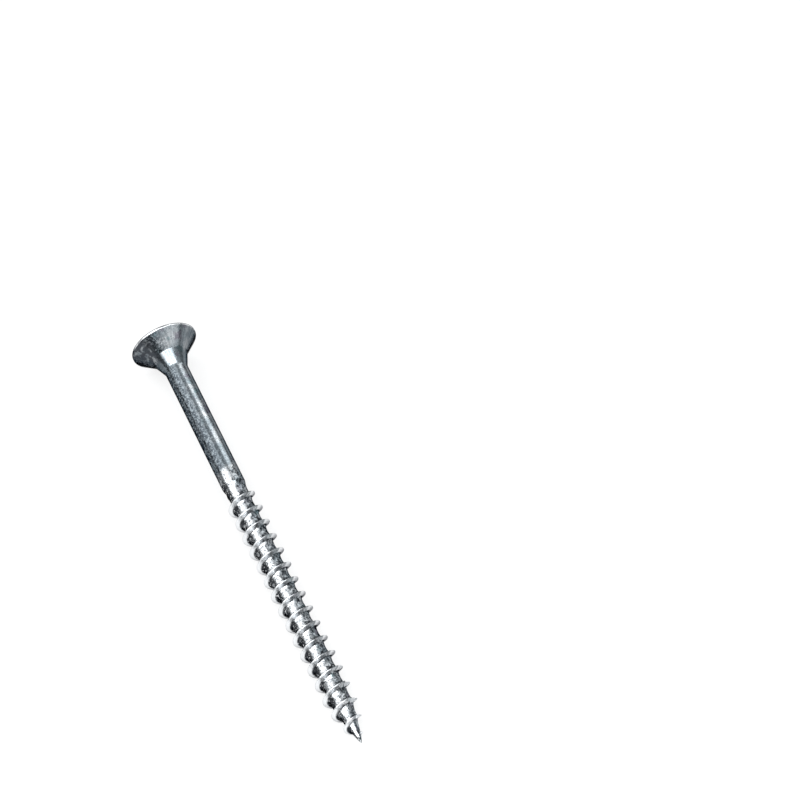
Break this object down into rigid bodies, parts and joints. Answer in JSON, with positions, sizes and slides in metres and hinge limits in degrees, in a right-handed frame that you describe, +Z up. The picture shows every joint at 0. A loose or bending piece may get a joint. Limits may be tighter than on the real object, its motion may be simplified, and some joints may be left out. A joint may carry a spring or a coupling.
{
  "type": "chipboard screw",
  "caption": "Countersunk chipboard screw with a smooth shank, a coarse single-start thread, a lobed drive recess and a notched cutting point.",
  "frame": {"origin": "on the surface that the screw lies on, under the middle of its length and width", "axes": "+X along the screw from head to point, +Z up from the surface; the screw lies as it comes to rest, on the rim of its head and on one thread crest, so its own axis dips 2.42 degrees towards the point"},
  "size_m": [0.0702, 0.01, 0.01],
  "materials": {
    "zinc_plate": "bright zinc plating, blue-white, slightly mottled"
  },
  "bodies": {
    "root": {"screw": "zinc_plate"}
  },
  "joints": []
}
